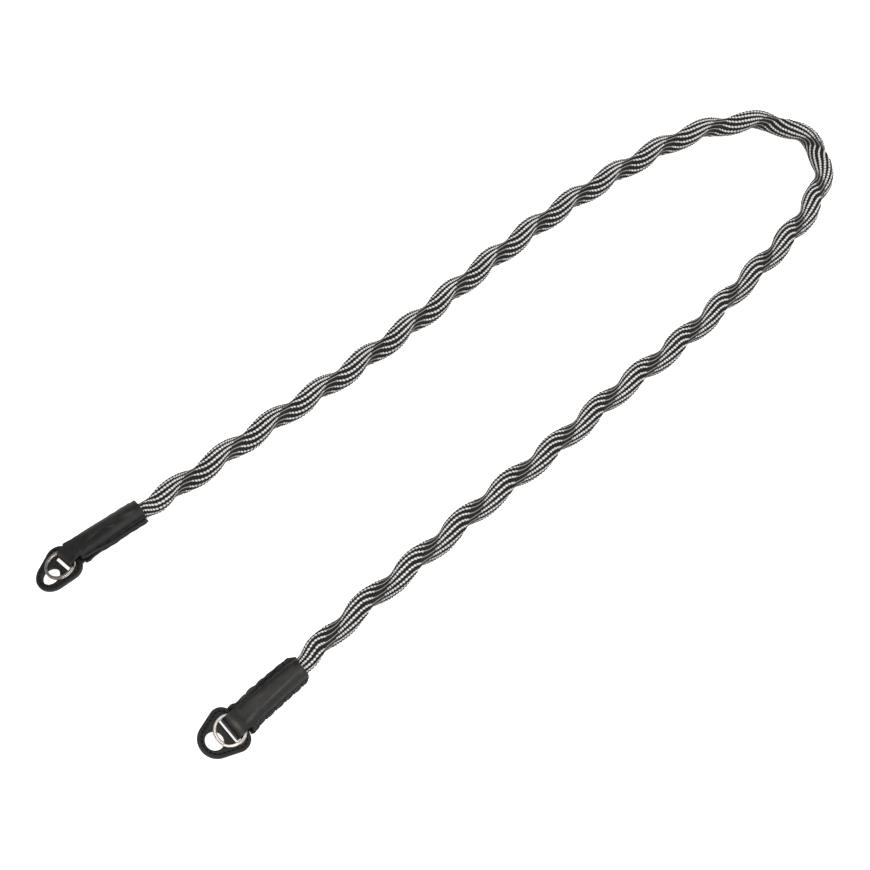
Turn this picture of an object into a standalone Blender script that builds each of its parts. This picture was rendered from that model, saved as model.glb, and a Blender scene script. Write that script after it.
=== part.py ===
# Coiled camera strap, laid on a surface as a long narrow U: a knitted cord with a corkscrew form,
# and at each end a leather sleeve whose tongue holds a ring guard and a split ring.
# Units are metres and +Z is up. +Y runs from the leather ends to the bend of the cord.

import math

import bmesh
import bpy
import numpy as np
from mathutils import Matrix, Vector

GAP = 0.0003                      # room between pieces that touch on the real strap

# Cord
CORD_RADIUS = 0.0050
CORD_SIDES = 10
CORD_STEP = 0.0032                # distance between the rings of the cord's skin
WAVE_SIDE = 0.0012                # how far the corkscrew swings sideways from the cord's mean line
WAVE_UP = 0.0010                  # and up and down, a little less because the cord lies on something
WAVE_COLUMNS = ("distance", "pitch")    # length of one turn, by distance from the left mouth
WAVE_ROWS = (
    (0.000, 0.0292),
    (0.150, 0.0283),
    (0.300, 0.0286),
    (0.420, 0.0277),
    (0.600, 0.0292),
    (0.750, 0.0301),
    (0.830, 0.0312),
)
FIRST_CREST = 0.0343              # from the left mouth to the first full swing towards the inside
WAVE_FADE = 0.012                 # length over which the corkscrew starts, out of a mouth
PRESS_FADE = 0.014                # length over which the cord widens, out of a mouth
REST_HEIGHT = CORD_RADIUS + WAVE_UP

# The cord's mean line on the surface, from the left sleeve round the bend to the right sleeve
ROUTE = (
    (-0.0530, -0.1451),
    (-0.0520, -0.1156),
    (-0.0505, -0.0856),
    (-0.0487, -0.0561),
    (-0.0481, -0.0266),
    (-0.0484, 0.0029),
    (-0.0499, 0.0329),
    (-0.0506, 0.0629),
    (-0.0504, 0.0924),
    (-0.0485, 0.1219),
    (-0.0453, 0.1509),
    (-0.0393, 0.1807),
    (-0.0337, 0.1945),
    (-0.0257, 0.2079),
    (-0.0157, 0.2183),
    (-0.0032, 0.2229),
    (0.0111, 0.2229),
    (0.0235, 0.2136),
    (0.0313, 0.2014),
    (0.0365, 0.1873),
    (0.0418, 0.1579),
    (0.0451, 0.1284),
    (0.0474, 0.0989),
    (0.0481, 0.0694),
    (0.0479, 0.0394),
    (0.0491, 0.0099),
    (0.0496, -0.0201),
    (0.0495, -0.0496),
    (0.0503, -0.0791),
    (0.0510, -0.1091),
    (0.0519, -0.1387),
    (0.0536, -0.1542),
)

# Each leather end is drawn flat, with x from the mouth to the tip, y to the left and z out of the
# top leather. Up to BEND_FROM it lies in its mouth's frame and past BEND_TO in its loop's frame,
# whose origin is the point x = LOOP_X; between the two it bends and twists. Angles are in degrees.
FRAME_COLUMNS = ("name", "x", "y", "z", "heading", "roll", "droop")
MOUTH_ROWS = (
    ("left", -0.0545, -0.1716, 0.0060, -95.6, 20.0, 2.8),
    ("right", 0.0555, -0.1670, 0.0065, -88.6, -18.0, 2.8),
)
LOOP_ROWS = (
    ("left", -0.0568, -0.2143, 0.0047, -84.5, 14.5, 8.0),
    ("right", 0.0571, -0.2094, 0.0065, -86.0, -15.5, -12.0),
)
BEND_FROM, BEND_TO, LOOP_X = 0.0160, 0.0320, 0.0415

LEATHER = 0.0013
SLEEVE_COLUMNS = ("x", "rim_half_width", "rim_half_height", "crown_half_width", "top", "bottom", "squareness")
SLEEVE_ROWS = (
    (0.0000, 0.0059, 0.0013, 0.0055, 0.0054, 0.0054, 2.0),
    (0.0010, 0.0067, 0.0013, 0.0056, 0.0054, 0.0054, 2.0),
    (0.0030, 0.0073, 0.0013, 0.0056, 0.0054, 0.0053, 2.0),
    (0.0120, 0.0073, 0.0013, 0.0056, 0.0052, 0.0050, 2.1),
    (0.0220, 0.0074, 0.0014, 0.0058, 0.0049, 0.0042, 2.4),
    (0.0290, 0.0076, 0.0018, 0.0062, 0.0046, 0.0032, 2.9),
    (0.0330, 0.0079, 0.0026, 0.0066, 0.0045, 0.0027, 3.4),
    (0.0352, 0.0078, 0.0026, 0.0066, 0.0045, 0.0027, 3.6),
)
SLEEVE_WIDTHS = {"left": (1.03, 0.90), "right": (0.95, 1.0)}    # against the table, at the mouth and the end
SLEEVE_STATIONS = (0.0, 0.0010, 0.0030, 0.0075, 0.0120, 0.0160, 0.0200, 0.0240, 0.0280, 0.0320, 0.0352)
CROWN_STEPS = 5                   # faces from a rim up to the crown's middle

POCKET_COLUMNS = ("x", "half_width", "half_height")
POCKET_ROWS = (
    (-0.0020, 0.0045, 0.0041),
    (0.0000, 0.0045, 0.0041),
    (0.0120, 0.0047, 0.0039),
    (0.0270, 0.0045, 0.0030),
)
POCKET_STATIONS = (-0.0020, 0.0, 0.0060, 0.0120, 0.0160, 0.0200, 0.0240, 0.0270)
CORD_TIP = 0.0260                 # how far the cord reaches into the pocket

# Tongue, from inside the sleeve over the ring to the fold, and back under the guard
TONGUE_HALF_WIDTH = 0.0053
TONGUE_TOP = 0.00445
TONGUE_BOTTOM = -0.0026
FOLD_X = 0.0413
FOLD_TOP_RADIUS = 0.0029
FOLD_BOTTOM_RADIUS = 0.0021
TONGUE_ROOT_X = 0.0325
LOOP_BACK_X = 0.0334
SLIT_BACK_X = 0.0332              # the two leather layers open here, for the guard's rear edge
SLIT_FRONT_X = 0.0373
SLIT_HALF_WIDTH = 0.0090
SLIT_HALF_HEIGHT = 0.00137

# Ring guard
GUARD_THICKNESS = 0.0020
GUARD_WIDE_X, GUARD_WIDE_Y, GUARD_WIDE_RADIUS = 0.0415, 0.0045, 0.0061
GUARD_TIP_X, GUARD_TIP_RADIUS = 0.0485, 0.0086
GUARD_HOLE_X, GUARD_HOLE_RADIUS = 0.0498, 0.0044
SLOT_BACK_X, SLOT_FRONT_X, SLOT_HALF_WIDTH = 0.0394, 0.0428, 0.0064
GUARD_SHIFT = {"left": -0.0004, "right": 0.0}
ARC_STEPS = 7

# Split ring, a flat wire that goes round twice
RING_OUTER_RADIUS = 0.00775
WIRE_WIDTH, WIRE_HEIGHT, WIRE_ROUND = 0.00105, 0.00062, 0.00018
TURN_RISE = WIRE_HEIGHT + 0.00012
RING_CENTRE = {"left": (0.0433, -0.0002), "right": (0.0418, 0.0007)}
RAMP = math.radians(26.0)         # stretch in which the wire climbs from the first turn to the second
TURN_STEP = math.radians(14.0)
WIRE_END = {"left": math.radians(150.0), "right": math.radians(28.0)}


def table(columns, rows):
    return [dict(zip(columns, row)) for row in rows]


def between(columns, rows, x):
    """A table's row at x, read evenly between its neighbours."""
    places = [row[0] for row in rows]
    values = [x] + [float(np.interp(x, places, column)) for column in list(zip(*rows))[1:]]
    return dict(zip(columns, values))


def frame_matrix(row):
    return (
        Matrix.Translation((row["x"], row["y"], row["z"]))
        @ Matrix.Rotation(math.radians(row["heading"]), 4, "Z")
        @ Matrix.Rotation(math.radians(row["droop"]), 4, "Y")
        @ Matrix.Rotation(math.radians(row["roll"]), 4, "X")
    )


MOUTHS = {row["name"]: row for row in table(FRAME_COLUMNS, MOUTH_ROWS)}
LOOPS = {row["name"]: row for row in table(FRAME_COLUMNS, LOOP_ROWS)}


def end_frame(name, x):
    """The frame across a leather end at x: its middle in the world and how it is turned."""
    mouth, loop = frame_matrix(MOUTHS[name]), frame_matrix(LOOPS[name])
    if x <= BEND_FROM:
        return mouth @ Vector((x, 0.0, 0.0)), mouth.to_quaternion()
    if x >= BEND_TO:
        return loop @ Vector((x - LOOP_X, 0.0, 0.0)), loop.to_quaternion()
    start, stop = mouth @ Vector((BEND_FROM, 0.0, 0.0)), loop @ Vector((BEND_TO - LOOP_X, 0.0, 0.0))
    reach = (stop - start).length
    u = (x - BEND_FROM) / (BEND_TO - BEND_FROM)
    blend = u * u * (3.0 - 2.0 * u)
    leave, arrive = mouth.col[0].xyz * reach, loop.col[0].xyz * reach
    middle = start.lerp(stop, blend) + leave * (u * (1.0 - u) ** 2) - arrive * (u * u * (1.0 - u))
    return middle, mouth.to_quaternion().slerp(loop.to_quaternion(), blend)


def end_point(name, point):
    """Where a point of the flat end comes to lie in the world."""
    middle, turn = end_frame(name, point[0])
    return middle + turn @ Vector((0.0, point[1], point[2]))


def lay(bm, name):
    """Moves a flat end's mesh to its place, in triangles, because its flat faces bend on the way."""
    bmesh.ops.triangulate(bm, faces=bm.faces)
    for vert in bm.verts:
        vert.co = end_point(name, vert.co)


def clear_scene():
    for old in list(bpy.data.objects):
        bpy.data.objects.remove(old, do_unlink=True)


def material(name, color, roughness, metallic=0.0):
    made = bpy.data.materials.new(name)
    made.use_nodes = True
    shader = made.node_tree.nodes["Principled BSDF"]
    shader.inputs["Base Color"].default_value = (*color, 1.0)
    shader.inputs["Roughness"].default_value = roughness
    shader.inputs["Metallic"].default_value = metallic
    return made


def add_object(name, bm, finish=None):
    bmesh.ops.recalc_face_normals(bm, faces=bm.faces)
    mesh = bpy.data.meshes.new(name)
    bm.to_mesh(mesh)
    bm.free()
    made = bpy.data.objects.new(name, mesh)
    bpy.context.scene.collection.objects.link(made)
    if finish is not None:
        mesh.materials.append(finish)
    return made


def shade(made, angle=35.0):
    made.data.shade_smooth()
    made.data.set_sharp_from_angle(angle=math.radians(angle))


def cut(made, tool, operation="DIFFERENCE"):
    """A live Boolean; its tool stays in the file as a hidden guide."""
    tool.hide_render = True
    tool.display_type = "WIRE"
    modifier = made.modifiers.new(operation.title() + " " + tool.name, "BOOLEAN")
    modifier.operation = operation
    modifier.solver = "EXACT"
    modifier.object = tool


def skin(bm, sections):
    """A closed skin through sections that all have the same number of points."""
    rings = [[bm.verts.new(point) for point in section] for section in sections]
    count = len(rings[0])
    for first, second in zip(rings, rings[1:]):
        for i in range(count):
            j = (i + 1) % count
            bm.faces.new((first[i], first[j], second[j], second[i]))
    bm.faces.new(rings[0])
    bm.faces.new(rings[-1])


def prism(points, low, high, along="z"):
    """A flat outline given a thickness, along z or along y."""
    bm = bmesh.new()
    place = (lambda p, h: (p[0], p[1], h)) if along == "z" else (lambda p, h: (p[0], h, p[1]))
    skin(bm, [[place(p, low) for p in points], [place(p, high) for p in points]])
    return bm


def arc(centre, radius, start, stop, steps):
    """Points on an arc, in degrees, both ends included."""
    turns = np.radians(np.linspace(start, stop, steps + 1))
    return [(centre[0] + radius * math.cos(t), centre[1] + radius * math.sin(t)) for t in turns]


# Cord


def smooth_line(points):
    """A natural cubic through the points, as many close samples and their distance along it."""
    knots = np.array([tuple(p) for p in points])
    chord = np.concatenate(([0.0], np.cumsum(np.linalg.norm(np.diff(knots, axis=0), axis=1))))
    span = np.diff(chord)
    count = len(knots)
    system = np.zeros((count, count))
    load = np.zeros((count, 3))
    system[0, 0] = system[-1, -1] = 1.0
    for i in range(1, count - 1):
        system[i, i - 1 : i + 2] = span[i - 1], 2.0 * (span[i - 1] + span[i]), span[i]
        after = (knots[i + 1] - knots[i]) / span[i]
        before = (knots[i] - knots[i - 1]) / span[i - 1]
        load[i] = 6.0 * (after - before)
    bend = np.linalg.solve(system, load)
    fine = np.linspace(0.0, chord[-1], 6000)
    k = np.clip(np.searchsorted(chord, fine, side="right") - 1, 0, count - 2)
    u = ((fine - chord[k]) / span[k])[:, None]
    v = 1.0 - u
    square = (span[k] ** 2 / 6.0)[:, None]
    line = v * knots[k] + u * knots[k + 1] + ((v**3 - v) * bend[k] + (u**3 - u) * bend[k + 1]) * square
    travelled = np.concatenate(([0.0], np.cumsum(np.linalg.norm(np.diff(line, axis=0), axis=1))))
    return line, travelled


def cord_line():
    """The mean line from tip to tip, with its two mouths as distances along it."""
    inside = np.linspace(CORD_TIP, 0.0, 5)
    points = [end_point("left", (x, 0.0, 0.0)) for x in inside]
    points += [Vector((x, y, REST_HEIGHT)) for x, y in ROUTE]
    points += [end_point("right", (x, 0.0, 0.0)) for x in reversed(inside)]
    line, travelled = smooth_line(points)
    return line, travelled, CORD_TIP, travelled[-1] - CORD_TIP


def ease(x):
    x = np.clip(x, 0.0, 1.0)
    return x * x * (3.0 - 2.0 * x)


def wave_turns(s):
    """Turns of the corkscrew since its first full swing to the right of the cord's travel."""
    distance, pitch = zip(*WAVE_ROWS)
    fine = np.linspace(distance[0], distance[-1], 4000)
    rate = 1.0 / np.interp(fine, distance, pitch)
    turns = np.concatenate(([0.0], np.cumsum((rate[1:] + rate[:-1]) / 2.0 * np.diff(fine))))
    return np.interp(s, fine, turns) - np.interp(FIRST_CREST, fine, turns)


def build_cord(finish):
    line, travelled, mouth_in, mouth_out = cord_line()
    stations = np.linspace(0.0, travelled[-1], round(travelled[-1] / CORD_STEP) + 1)
    centre = np.stack([np.interp(stations, travelled, line[:, k]) for k in range(3)], axis=1)
    heading = np.gradient(centre, axis=0)
    heading /= np.linalg.norm(heading, axis=1)[:, None]
    side = np.cross(heading, (0.0, 0.0, 1.0))
    side /= np.linalg.norm(side, axis=1)[:, None]
    up = np.cross(side, heading)
    free = np.minimum(stations - mouth_in, mouth_out - stations)
    swing = ease(free / WAVE_FADE)[:, None]
    phase = 2.0 * math.pi * wave_turns(stations - mouth_in)[:, None]
    centre = centre + swing * (WAVE_SIDE * np.cos(phase) * side + WAVE_UP * np.sin(phase) * up)
    # Inside a sleeve the cord is pressed flat and lies with the sleeve's roll
    pressed = 1.0 - ease((free - 0.0008) / PRESS_FADE)
    deep = np.clip(-free / CORD_TIP, 0.0, 1.0)
    pocket = POCKET_ROWS[1], POCKET_ROWS[-1]
    wide = CORD_RADIUS + pressed * (pocket[0][1] + deep * (pocket[1][1] - pocket[0][1]) - GAP - CORD_RADIUS)
    tall = CORD_RADIUS + pressed * (pocket[0][2] + deep * (pocket[1][2] - pocket[0][2]) - GAP - CORD_RADIUS)
    heading = np.gradient(centre, axis=0)
    heading /= np.linalg.norm(heading, axis=1)[:, None]
    names = np.where(stations < travelled[-1] / 2, "left", "right")
    leather_up = [end_frame(name, max(0.0, -x))[1] @ Vector((0.0, 0.0, 1.0)) for name, x in zip(names, free)]
    up = up * (1.0 - pressed)[:, None] + np.array([tuple(v) for v in leather_up]) * pressed[:, None]
    side = np.cross(heading, up)
    side /= np.linalg.norm(side, axis=1)[:, None]
    up = np.cross(side, heading)
    sections = []
    for i in range(len(stations)):
        ring = []
        for j in range(CORD_SIDES):
            turn = 2.0 * math.pi * j / CORD_SIDES
            across, rise = wide[i] * math.cos(turn), tall[i] * math.sin(turn)
            ring.append(centre[i] + across * side[i] + rise * up[i])
        sections.append(ring)
    bm = bmesh.new()
    skin(bm, sections)
    shade(add_object("cord", bm, finish))


# Leather sleeve with its tongue


def sleeve_section(row):
    """One outline of the pouch: a rim on each side, a crown above and a belly below."""
    rim, half, crown = row["rim_half_width"], row["rim_half_height"], row["crown_half_width"]
    power = 2.0 / row["squareness"]
    points = []
    for sign, height in ((1.0, row["top"]), (-1.0, row["bottom"])):
        rise = height - half
        steps = range(CROWN_STEPS, -CROWN_STEPS - 1, -1)
        side = [(sign * rim, sign * half)]
        for step in steps:
            turn = step / CROWN_STEPS * math.pi / 2
            across = math.copysign(abs(math.sin(turn)) ** power, turn) * crown
            side.append((sign * across, sign * (half + rise * math.cos(turn) ** power)))
        side.append((-sign * rim, sign * half))
        points += side
    return [(row["x"], y, z) for y, z in points]


def pocket_section(row, count=16):
    turns = [2.0 * math.pi * i / count for i in range(count)]
    return [(row["x"], row["half_width"] * math.cos(t), row["half_height"] * math.sin(t)) for t in turns]


def fold_outline(inset):
    """The tongue's side view, or the space inside it when inset by the leather's thickness."""
    back = TONGUE_ROOT_X if inset == 0.0 else LOOP_BACK_X
    top, bottom, front = TONGUE_TOP - inset, TONGUE_BOTTOM + inset, FOLD_X - inset
    upper, lower = FOLD_TOP_RADIUS - inset, FOLD_BOTTOM_RADIUS - inset
    points = [(back, top)]
    points += arc((front - upper, top - upper), upper, 90.0, 0.0, 5)
    points += arc((front - lower, bottom + lower), lower, 0.0, -90.0, 4)
    points.append((back, bottom))
    return points


def box(low, high):
    """A plain block between two corners."""
    bm = bmesh.new()
    bmesh.ops.create_cube(bm, size=1.0)
    size = Vector(high) - Vector(low)
    middle = (Vector(high) + Vector(low)) / 2
    bmesh.ops.transform(bm, matrix=Matrix.Translation(middle) @ Matrix.Diagonal((*size, 1.0)), verts=bm.verts)
    return bm


def build_sleeve(name, finish):
    pouch, pocket = bmesh.new(), bmesh.new()
    sections = []
    for x in SLEEVE_STATIONS:
        row = between(SLEEVE_COLUMNS, SLEEVE_ROWS, x)
        row["rim_half_width"] *= float(np.interp(x, (0.0, SLEEVE_STATIONS[-1]), SLEEVE_WIDTHS[name]))
        sections.append(sleeve_section(row))
    skin(pouch, sections)
    skin(pocket, [pocket_section(between(POCKET_COLUMNS, POCKET_ROWS, x)) for x in POCKET_STATIONS])
    tongue = prism(fold_outline(0.0), -TONGUE_HALF_WIDTH, TONGUE_HALF_WIDTH, "y")
    loop_half = TONGUE_HALF_WIDTH + GAP
    loop = prism(fold_outline(LEATHER), -loop_half, loop_half, "y")
    slit = box((SLIT_BACK_X, -SLIT_HALF_WIDTH, -SLIT_HALF_HEIGHT), (SLIT_FRONT_X, SLIT_HALF_WIDTH, SLIT_HALF_HEIGHT))
    for mesh in (pouch, tongue, pocket, loop, slit):
        lay(mesh, name)
    sleeve = add_object("sleeve_" + name, pouch, finish)
    cut(sleeve, add_object("tongue_tool_" + name, tongue), "UNION")
    cut(sleeve, add_object("pocket_tool_" + name, pocket))
    cut(sleeve, add_object("loop_tool_" + name, loop))
    cut(sleeve, add_object("slit_tool_" + name, slit))
    shade(sleeve)


# Ring guard


def guard_outline():
    """Two wide shoulders and a round tip, joined by straight sides that touch all three arcs."""
    shoulder, tip = (GUARD_WIDE_X, GUARD_WIDE_Y), (GUARD_TIP_X, 0.0)
    reach = math.hypot(tip[0] - shoulder[0], tip[1] - shoulder[1])
    lean = math.degrees(math.atan2(tip[1] - shoulder[1], tip[0] - shoulder[0]))
    slack = math.degrees(math.asin((GUARD_WIDE_RADIUS - GUARD_TIP_RADIUS) / reach))
    touch = lean + 90.0 - slack
    points = arc(tip, GUARD_TIP_RADIUS, -touch, touch, 2 * ARC_STEPS)
    points += arc(shoulder, GUARD_WIDE_RADIUS, touch, 180.0, ARC_STEPS)
    points += arc((shoulder[0], -shoulder[1]), GUARD_WIDE_RADIUS, 180.0, 360.0 - touch, ARC_STEPS)
    return points


def build_guard(name, finish):
    half = GUARD_THICKNESS / 2
    plate = prism(guard_outline(), -half, half)
    hole = prism(arc((GUARD_HOLE_X, 0.0), GUARD_HOLE_RADIUS, 0.0, 345.0, 23), -2 * half, 2 * half)
    slot = box((SLOT_BACK_X, -SLOT_HALF_WIDTH, -2 * half), (SLOT_FRONT_X, SLOT_HALF_WIDTH, 2 * half))
    for mesh in (plate, hole, slot):
        bmesh.ops.translate(mesh, vec=(0.0, GUARD_SHIFT[name], 0.0), verts=mesh.verts)
        lay(mesh, name)
    guard = add_object("ring_guard_" + name, plate, finish)
    cut(guard, add_object("hole_tool_" + name, hole))
    cut(guard, add_object("slot_tool_" + name, slot))
    shade(guard)


# Split ring


def wire_section():
    """Half sizes of the flat wire, with its four corners taken off."""
    w, h, r = WIRE_WIDTH / 2, WIRE_HEIGHT / 2, WIRE_ROUND
    return ((w, h - r), (w - r, h), (r - w, h), (-w, h - r), (-w, r - h), (r - w, -h), (w - r, -h), (w, r - h))


def wire_height(turn):
    """The wire lies flat, climbs once, just before it passes over its own start, and lies flat again."""
    clear = 2.0 * math.pi - math.radians(3.0)
    return TURN_RISE * float(ease(1.0 - (clear - turn) / RAMP))


def build_ring(name, finish):
    length = 4.0 * math.pi - RAMP - math.radians(8.0)
    steps = round(length / TURN_STEP)
    mean = RING_OUTER_RADIUS - WIRE_WIDTH / 2
    base = GUARD_THICKNESS / 2 + GAP + WIRE_HEIGHT / 2
    sections = []
    for step in range(steps + 1):
        turn = length * step / steps
        angle = turn + WIRE_END[name]
        rise = base + wire_height(turn)
        outward = Vector((math.cos(angle), math.sin(angle), 0.0))
        middle = Vector((*RING_CENTRE[name], rise)) + mean * outward
        sections.append([middle + across * outward + Vector((0.0, 0.0, up)) for across, up in wire_section()])
    bm = bmesh.new()
    skin(bm, sections)
    lay(bm, name)
    shade(add_object("split_ring_" + name, bm, finish), 50.0)


clear_scene()
knit = material("knitted cord", (0.09, 0.09, 0.09), 0.85)
leather = material("black leather", (0.025, 0.024, 0.023), 0.5)
nickel = material("warm nickel", (0.72, 0.67, 0.62), 0.25, 1.0)
build_cord(knit)
for end_name in MOUTHS:
    build_sleeve(end_name, leather)
    build_guard(end_name, leather)
    build_ring(end_name, nickel)
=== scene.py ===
import math

import bmesh
import bpy
import numpy as np
from mathutils import Matrix, Vector


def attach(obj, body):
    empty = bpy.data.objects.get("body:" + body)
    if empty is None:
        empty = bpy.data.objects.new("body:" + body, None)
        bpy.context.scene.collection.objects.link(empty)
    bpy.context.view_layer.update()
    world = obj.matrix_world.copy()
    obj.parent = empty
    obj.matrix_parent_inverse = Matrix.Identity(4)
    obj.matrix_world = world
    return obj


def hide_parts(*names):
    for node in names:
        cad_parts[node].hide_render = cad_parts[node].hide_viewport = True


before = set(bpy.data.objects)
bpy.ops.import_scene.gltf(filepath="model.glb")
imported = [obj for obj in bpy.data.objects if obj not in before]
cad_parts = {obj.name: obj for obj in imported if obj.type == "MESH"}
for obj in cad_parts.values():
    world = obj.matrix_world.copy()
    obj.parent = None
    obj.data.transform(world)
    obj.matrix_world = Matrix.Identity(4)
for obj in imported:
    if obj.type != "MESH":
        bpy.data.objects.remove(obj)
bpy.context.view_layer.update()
print("frame loaded:", sorted(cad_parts))

# Camera, at the photograph's place

view = {
    "position": (0.3361, -0.3390, 0.774),
    "target": (0.0040, -0.0400, 0.0),
    "lens": 76.76,
    "sensor": 36.0,
}

camera = bpy.data.objects.new("camera", bpy.data.cameras.new("camera"))
camera.data.lens = view["lens"]
camera.data.sensor_width = view["sensor"]
camera.data.clip_start = 0.01
camera.location = view["position"]
sight = Vector(view["target"]) - Vector(view["position"])
camera.rotation_euler = sight.to_track_quat("-Z", "Y").to_euler()
bpy.context.scene.collection.objects.link(camera)
bpy.context.scene.camera = camera


# Shader maths


class Flow:
    # one socket; an expression on it adds its Math nodes
    def __init__(self, finish, socket):
        self.finish, self.socket = finish, socket

    def maths(self, operation, *values):
        return self.finish.add("ShaderNodeMath", {"operation": operation}, values)

    def __add__(self, other):
        return self.maths("ADD", self, other)

    def __sub__(self, other):
        return self.maths("SUBTRACT", self, other)

    def __rsub__(self, other):
        return self.maths("SUBTRACT", other, self)

    def __mul__(self, other):
        return self.maths("MULTIPLY", self, other)

    __radd__, __rmul__ = __add__, __mul__


class Finish:
    # one material and its nodes
    def __init__(self, name, **constants):
        self.material = bpy.data.materials.new(name)
        self.material.use_nodes = True
        self.tree = self.material.node_tree
        self.surface = self.tree.nodes["Principled BSDF"]
        for socket, value in constants.items():
            self.surface.inputs[socket.replace("_", " ")].default_value = value

    def add(self, kind, settings=None, sockets=(), output=0):
        node = self.tree.nodes.new(kind)
        for name, value in (settings or {}).items():
            setattr(node, name, value)
        for name, value in sockets.items() if isinstance(sockets, dict) else enumerate(sockets):
            if isinstance(value, Flow):
                self.tree.links.new(value.socket, node.inputs[name])
            else:
                node.inputs[name].default_value = value
        return Flow(self, node.outputs[output])

    def place(self):
        return self.add("ShaderNodeTexCoord", output="Object")

    def noise(self, scale, detail=3.0, roughness=0.55, stretch=None):
        where = self.place()
        if stretch:
            where = self.add("ShaderNodeMapping", sockets={"Vector": where, "Scale": stretch})
        return self.add(
            "ShaderNodeTexNoise",
            sockets={"Vector": where, "Scale": scale, "Detail": detail, "Roughness": roughness},
        )

    def steps(self, value, low, high):
        # 0 up to low, 1 from high on, and a soft step between
        return self.add(
            "ShaderNodeMapRange",
            {"interpolation_type": "SMOOTHSTEP"},
            {"Value": value, "From Min": low, "From Max": high},
        )

    def blend(self, share, first, second):
        # the node's sockets 6 and 7, and its output 2, are the ones for colours
        first, second = [c if isinstance(c, Flow) else (*c, 1.0) for c in (first, second)]
        return self.add("ShaderNodeMix", {"data_type": "RGBA"}, {0: share, 6: first, 7: second}, 2)

    def bump(self, height, strength, distance, under=None):
        sockets = {"Height": height, "Strength": strength, "Distance": distance}
        if under:
            sockets["Normal"] = under
        return self.add("ShaderNodeBump", sockets=sockets)

    def feed(self, **flows):
        for socket, flow in flows.items():
            self.tree.links.new(flow.socket, self.surface.inputs[socket.replace("_", " ")])
        return self.material


def srgb(code):
    # a colour as read off a screen, such as "2b2a29", in Blender's own scale
    parts = [int(code[i : i + 2], 16) / 255 for i in (0, 2, 4)]
    return tuple(c / 12.92 if c <= 0.04045 else ((c + 0.055) / 1.055) ** 2.4 for c in parts)


def yarnFinish(name, deep, pale, sheen):
    # soft twisted yarn: fine fibres, slightly uneven dye, no shine
    made = Finish(name, Specular_IOR_Level=0.25, Sheen_Weight=sheen, Sheen_Roughness=0.5)
    fibre = made.noise(5200.0, 2.0, 0.6)
    cloud = made.noise(70.0, 2.0)
    tone = made.steps(fibre * 0.65 + cloud * 0.35, 0.32, 0.68)
    return made.feed(
        Base_Color=made.blend(tone, srgb(deep), srgb(pale)),
        Roughness=0.82 + 0.12 * fibre,
        Normal=made.bump(fibre, 0.35, 0.00012),
    )


# What every leather end is laid out with: drawn flat, then bent into its place

ends = {
    # x, y, z, then heading, roll and droop in degrees
    "mouth": {
        "left": (-0.0545, -0.1716, 0.0060, -95.6, 20.0, 2.8),
        "right": (0.0555, -0.1670, 0.0065, -88.6, -18.0, 2.8),
    },
    "loop": {
        "left": (-0.0568, -0.2143, 0.0047, -84.5, 14.5, 8.0),
        "right": (0.0571, -0.2094, 0.0065, -86.0, -15.5, -12.0),
    },
    "bendFrom": 0.0160,
    "bendTo": 0.0320,
    "loopX": 0.0415,
}


def placeMatrix(x, y, z, heading, roll, droop):
    angles = ((heading, "Z"), (droop, "Y"), (roll, "X"))
    turn = [Matrix.Rotation(math.radians(angle), 4, axis) for angle, axis in angles]
    return Matrix.Translation((x, y, z)) @ turn[0] @ turn[1] @ turn[2]


def endFrame(name, x):
    mouth, loop = placeMatrix(*ends["mouth"][name]), placeMatrix(*ends["loop"][name])
    bendFrom, bendTo, loopX = ends["bendFrom"], ends["bendTo"], ends["loopX"]
    if x <= bendFrom:
        return mouth @ Vector((x, 0.0, 0.0)), mouth.to_quaternion()
    if x >= bendTo:
        return loop @ Vector((x - loopX, 0.0, 0.0)), loop.to_quaternion()
    start, stop = mouth @ Vector((bendFrom, 0.0, 0.0)), loop @ Vector((bendTo - loopX, 0.0, 0.0))
    reach = (stop - start).length
    u = (x - bendFrom) / (bendTo - bendFrom)
    share = u * u * (3.0 - 2.0 * u)
    leave, arrive = mouth.col[0].xyz * reach, loop.col[0].xyz * reach
    middle = start.lerp(stop, share) + leave * (u * (1.0 - u) ** 2) - arrive * (u * u * (1.0 - u))
    return middle, mouth.to_quaternion().slerp(loop.to_quaternion(), share)


def endPoint(name, point):
    middle, turn = endFrame(name, point[0])
    return middle + turn @ Vector((0.0, point[1], point[2]))


def finishPiece(name, mesh, materials, replaces=()):
    # the object stays at the origin, and rides on the strap's one body
    made = bpy.data.objects.new(name, mesh)
    bpy.context.scene.collection.objects.link(made)
    for material in materials:
        mesh.materials.append(material)
    mesh.shade_smooth()
    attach(made, "root")
    if replaces:
        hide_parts(*replaces)
    return made


# Cord: a black core, and round it 24 rows of stitches, black and white in turn. A dented band without
# full stitches winds along the inner side of the corkscrew

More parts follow.
